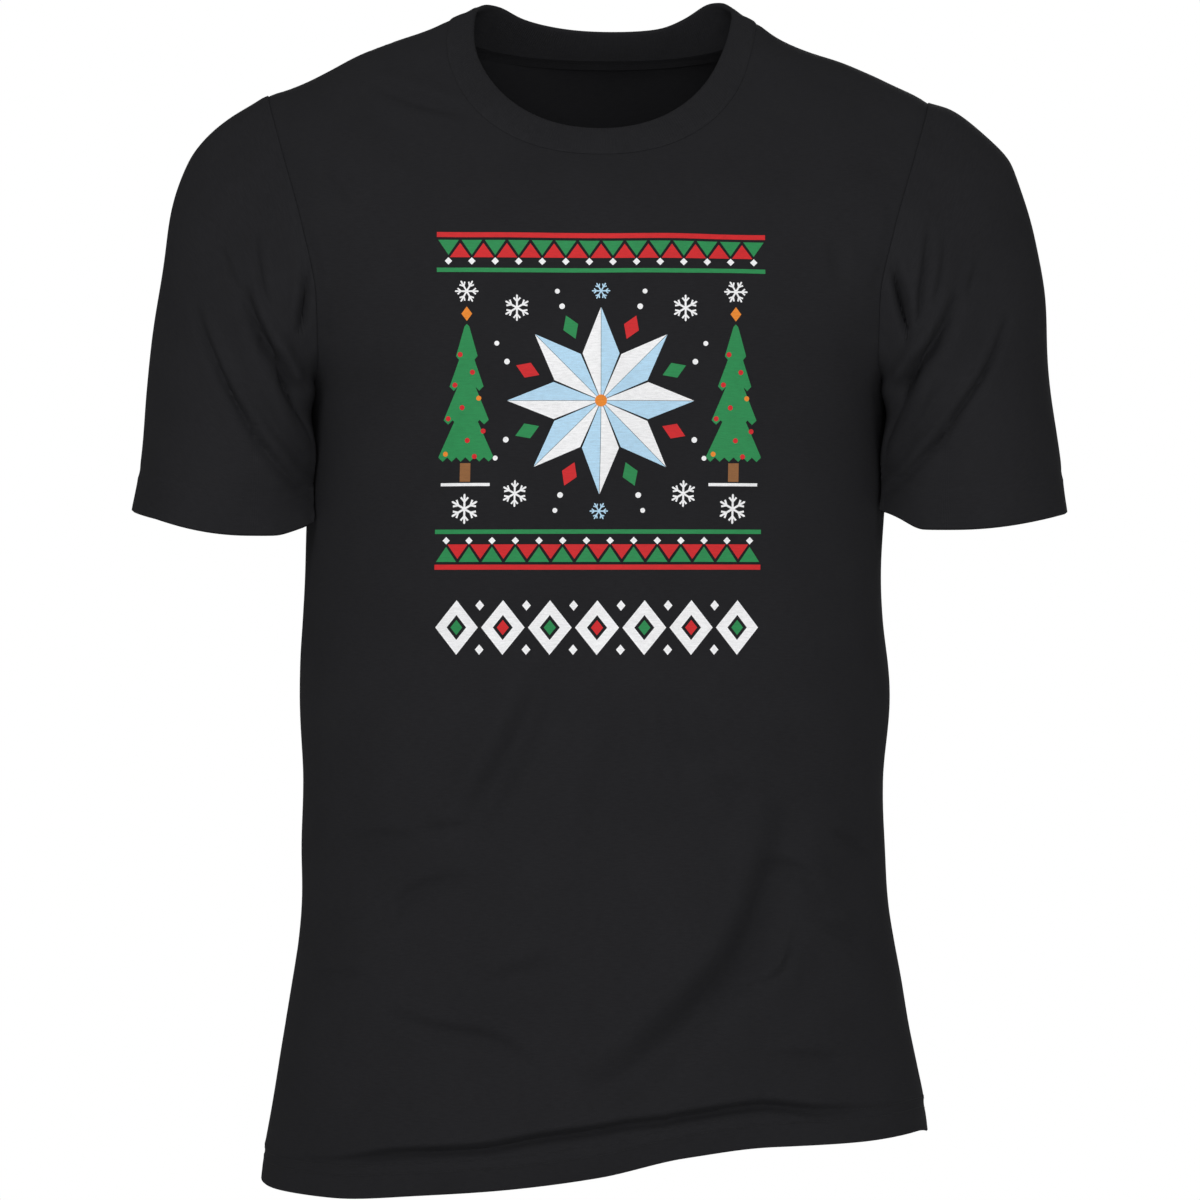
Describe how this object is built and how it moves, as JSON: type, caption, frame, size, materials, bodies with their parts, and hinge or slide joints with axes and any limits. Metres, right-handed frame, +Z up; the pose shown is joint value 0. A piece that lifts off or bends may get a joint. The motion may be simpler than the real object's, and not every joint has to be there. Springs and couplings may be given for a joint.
{
  "type": "t-shirt",
  "caption": "Short-sleeved crew-neck T-shirt in black cotton jersey, in the shape it has when worn, with a folded rib collar and turned-up hems",
  "frame": {"origin": "The middle of the neck opening, level with the tops of the shoulders that carry the shirt", "axes": "+Z is up along the wearer's spine. The wearer faces -Y. +X is towards the wearer's left arm, which is on the right of someone looking at the front."},
  "size_m": [0.5765, 0.2489, 0.7299],
  "materials": {
    "jersey": "matt",
    "rib": "matt",
    "twill": "matt"
  },
  "bodies": {
    "root": {"front_panel": "jersey", "back_panel": "jersey", "sleeve_right_side": "jersey", "sleeve_left_side": "jersey", "collar": "rib", "neck_tape": "twill"}
  },
  "joints": []
}
